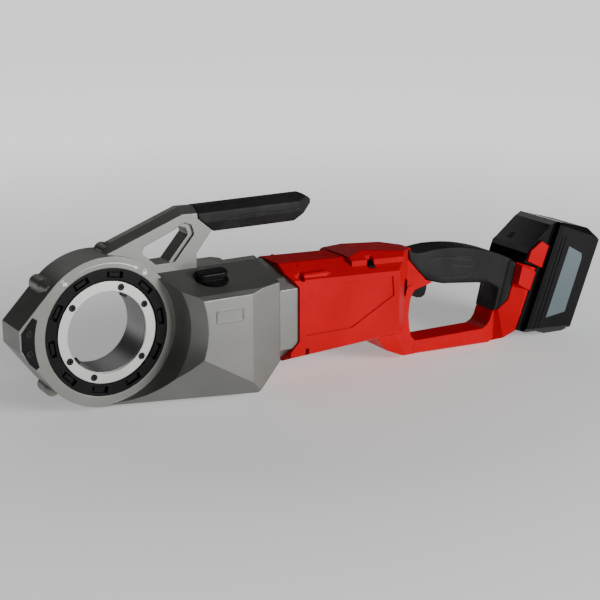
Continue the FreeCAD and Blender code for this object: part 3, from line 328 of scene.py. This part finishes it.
RIBS_FRONT = (133.0, 0.95)                # ribbed panel: x at height RIBS_AT_Z, and lean in x per z
RIBS_BACK = (238.0, 0.8)
RIBS_AT_Z, RIBS_TOP_Z = 88.0, 105.0
RIBS_SUNK = 0.5
RIB_PITCH, RIB_HEIGHT = 2.7, 0.36
RIB_SWAY, RIB_SWAY_RUN = 0.5, 9.0         # each rib wavers a little along its length


def carry_grip_depth(x, z, normals):
    """Fine lengthwise ribs in a shallow panel on the lower half of both sides."""
    side = ramp(np.abs(normals[:, 1]), 0.35, 0.6)
    front, back = (at + (z - RIBS_AT_Z) * lean for at, lean in (RIBS_FRONT, RIBS_BACK))
    zone = side * ramp(x, front, front + 1.5) * ramp(-x, -back, 2 - back)
    zone *= ramp(-z, -RIBS_TOP_Z, 1 - RIBS_TOP_Z)
    sway = RIB_SWAY * np.sin(x / RIB_SWAY_RUN)
    wave = np.sin((z + sway) * 2 * math.pi / RIB_PITCH)
    return zone * (RIB_HEIGHT * wave - RIBS_SUNK)


def stadium(x, z, a, b, radius):
    """Distance from the outline of a stadium drawn around the line from a to b."""
    run = np.array([b[0] - a[0], b[1] - a[1]], float)
    share = ((x - a[0]) * run[0] + (z - a[1]) * run[1]) / (run @ run)
    share = np.clip(share, 0.0, 1.0)
    reach = np.hypot(x - a[0] - share * run[0], z - a[1] - share * run[1])
    return np.abs(reach - radius)


# depth, the two ends of the middle line (x, z) and radius of each oval, in millimetres
OVAL_GROOVES = ((0.55, (437.0, 22.0), (462.0, 17.0), 4.0),
                (0.45, (410.0, 17.0), (455.0, 14.0), 12.0))
GROOVE_HALF, GROOVE_FLOOR = 1.1, 0.3      # from the outline to the groove's lip and to its floor


def rear_grip_depth(x, z, normals):
    """Two oval grooves moulded into both sides of the rear handle."""
    side = ramp(np.abs(normals[:, 1]), 0.5, 0.8)
    cut = sum(deep * ramp(-stadium(x, z, a, b, radius), -GROOVE_HALF, -GROOVE_FLOOR)
              for deep, a, b, radius in OVAL_GROOVES)
    return -side * cut


# CAD node, voxel size in millimetres, smoothing passes and relief of each softened skin
SKINS = (("carry_grip", 0.9, 5, carry_grip_depth), ("rear_grip", 1.0, 12, rear_grip_depth))


def soft_pieces(made):
    """The rubber grips: each smoothed skin takes the place of its CAD node."""
    for node, voxel, passes, depth in SKINS:
        mesh = softened(node, voxel, passes)
        displace(mesh, depth)
        mesh.shade_smooth()
        piece = add_piece(node + "_skin", mesh, "housing", made["black_rubber"])
        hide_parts(node)


def ribbon(bm, left, right, y, thick):
    """A thin slab between two lines of (x, z) points, its face at y."""
    rows = []
    for depth in (y, y + thick):
        rows.append([[bm.verts.new((a * MM, depth * MM, b * MM)) for a, b in line]
                     for line in (left, right)])
    (front_l, front_r), (back_l, back_r) = rows
    for k in range(len(left) - 1):
        bm.faces.new((front_l[k], front_l[k + 1], front_r[k + 1], front_r[k]))
        bm.faces.new((back_l[k + 1], back_l[k], back_r[k], back_r[k + 1]))
        bm.faces.new((front_l[k + 1], front_l[k], back_l[k], back_l[k + 1]))
        bm.faces.new((front_r[k], front_r[k + 1], back_r[k + 1], back_r[k]))
    bm.faces.new((front_l[0], front_r[0], back_r[0], back_l[0]))
    bm.faces.new((front_r[-1], front_l[-1], back_l[-1], back_r[-1]))


def polar(radius, degrees):
    angle = math.radians(degrees)
    return radius * math.cos(angle), radius * math.sin(angle)


INK_Y, INK_THICK = -5.58, 0.05            # the signs' outer face, and how thick they stand
SIGN_RADIUS = 74.3
OPEN_SIGN, CLOSED_SIGN = 127, 53          # where the padlocks stand on the rim, in degrees
LOCK_HALF, LOCK_FOOT, LOCK_TOP = 2.4, 3.0, 0.6
SHACKLE_OUTER, SHACKLE_INNER = 1.7, 1.0
SHACKLE_CENTRE, SHACKLE_ASIDE, SHACKLE_STEPS = 1.7, 2.6, 8
ARROW_RADIUS, ARROW_FROM, ARROW_SWEEP, ARROW_STEPS = 74.0, 119, 56, 30
ARROW_OUT, ARROW_IN = 0.9, 0.5            # how far its sides leave its middle line at the head


def padlock(bm, degrees, opened):
    """A small generic padlock sign; when open, its shackle stands to one side."""
    cx, cz = polar(SIGN_RADIUS, degrees)
    left, right = ([(cx + side * LOCK_HALF, cz - LOCK_FOOT), (cx + side * LOCK_HALF, cz + LOCK_TOP)]
                   for side in (-1, 1))
    ribbon(bm, left, right, INK_Y, INK_THICK)
    hoop_x = cx - SHACKLE_ASIDE if opened else cx
    turns = [math.pi * (1 - k / SHACKLE_STEPS) for k in range(SHACKLE_STEPS + 1)]
    hoops = []
    for radius in (SHACKLE_OUTER, SHACKLE_INNER):
        arch = [(hoop_x + radius * math.cos(turn), cz + SHACKLE_CENTRE + radius * math.sin(turn))
                for turn in turns]
        hoops.append([(hoop_x - radius, cz + LOCK_TOP), *arch, (hoop_x + radius, cz + LOCK_TOP)])
    ribbon(bm, *hoops, INK_Y, INK_THICK)


def arrow_side(spread):
    """One side of the arrow's shaft, leaving its middle line by spread at the head."""
    return [polar(ARROW_RADIUS + spread * k / ARROW_STEPS,
                  ARROW_FROM - ARROW_SWEEP * k / ARROW_STEPS) for k in range(ARROW_STEPS + 1)]


def lock_signs(made):
    """Open and closed padlocks on the rim, joined by an arrow that widens to its head."""
    bm = bmesh.new()
    padlock(bm, OPEN_SIGN, True)
    padlock(bm, CLOSED_SIGN, False)
    ribbon(bm, arrow_side(ARROW_OUT), arrow_side(-ARROW_IN), INK_Y, INK_THICK)
    head_out = [polar(76.3, 63.3), polar(74.2, 59.5)]
    head_in = [polar(72.1, 63.3), polar(74.1, 59.5)]
    ribbon(bm, head_out, head_in, INK_Y, INK_THICK)
    bmesh.ops.recalc_face_normals(bm, faces=bm.faces)
    mesh = bpy.data.meshes.new("lock_signs")
    bm.to_mesh(mesh)
    bm.free()
    mesh.shade_flat()
    add_piece("lock_signs", mesh, "housing", made["white_ink"])


# ---- studio -----------------------------------------------------------------------------
CAMERA_AT = Vector((-0.601, -1.387, 0.457))   # fitted to the photo, in metres
AZIMUTH = math.radians(-31.15)
ELEVATION = math.radians(15.77)
FLOOR_Y = 3.0                             # the floor's middle, behind the tool
FLOOR_GAP = 0.0005
UNDER_TOOL = (0.27, -FLOOR_Y, 0.0)        # the tool's middle, seen from the floor's middle
LIT_AT = (0.25, 0.0, 0.0)                 # where both lights point
WORLD_STRENGTH = 0.05


def camera():
    data = bpy.data.cameras.new("camera")
    data.lens = 90.0
    data.sensor_width = 36.0
    data.clip_start = 0.05
    obj = bpy.data.objects.new("camera", data)
    bpy.context.scene.collection.objects.link(obj)
    back = Vector((math.sin(AZIMUTH) * math.cos(ELEVATION),
                   -math.cos(AZIMUTH) * math.cos(ELEVATION), math.sin(ELEVATION)))
    obj.location = CAMERA_AT
    obj.rotation_euler = back.to_track_quat("Z", "Y").to_euler()
    bpy.context.scene.camera = obj


def light(name, place, target, size, power):
    data = bpy.data.lights.new(name, "AREA")
    data.shape = "RECTANGLE"
    data.size, data.size_y = size
    data.energy = power
    obj = bpy.data.objects.new(name, data)
    obj.location = place
    obj.rotation_euler = (Vector(place) - Vector(target)).to_track_quat("Z", "Y").to_euler()
    bpy.context.scene.collection.objects.link(obj)


def floor_paint():
    """White paint that glows less near the tool, so that its shadow still shows."""
    s = Shader("floor_paint")
    color = s.mix(s.noise(3.0), (0.90, 0.90, 0.90), (0.93, 0.93, 0.93))
    normal = s.bump(s.noise(200.0), 0.05 * MM, strength=0.1, after=s.rounded(0.1 * MM))
    reach = s.add("ShaderNodeVectorMath", operation="DISTANCE")
    s.link(s.place, reach.inputs[0])
    reach.inputs[1].default_value = UNDER_TOOL
    glow = s.span(reach.outputs["Value"], 0.3, 1.6, 0.30, 1.0)
    s.link(glow, s.bsdf.inputs["Emission Color"])
    return s.finish(color, s.wander(s.noise(5.0), 0.6, 0.7), normal, Emission_Strength=1.1)


def studio():
    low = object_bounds()[0][2]
    bpy.ops.mesh.primitive_plane_add(size=14, location=(0, FLOOR_Y, low - FLOOR_GAP))
    floor = bpy.context.object
    floor.name = "floor"
    floor.data.materials.append(floor_paint())
    floor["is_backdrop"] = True
    world = bpy.data.worlds.new("studio")
    bpy.context.scene.world = world
    world.use_nodes = True
    sky = world.node_tree.nodes["Background"]
    sky.inputs["Color"].default_value = (1, 1, 1, 1)
    sky.inputs["Strength"].default_value = WORLD_STRENGTH
    light("key", (1.3, -2.5, 0.7), LIT_AT, size=(1.2, 0.8), power=74)
    light("back", (0.4, 2.2, 1.6), LIT_AT, size=(2.4, 0.6), power=5)


def main():
    camera()
    made = materials()
    dress_frame(made)
    soft_pieces(made)
    lock_signs(made)
    studio()


main()
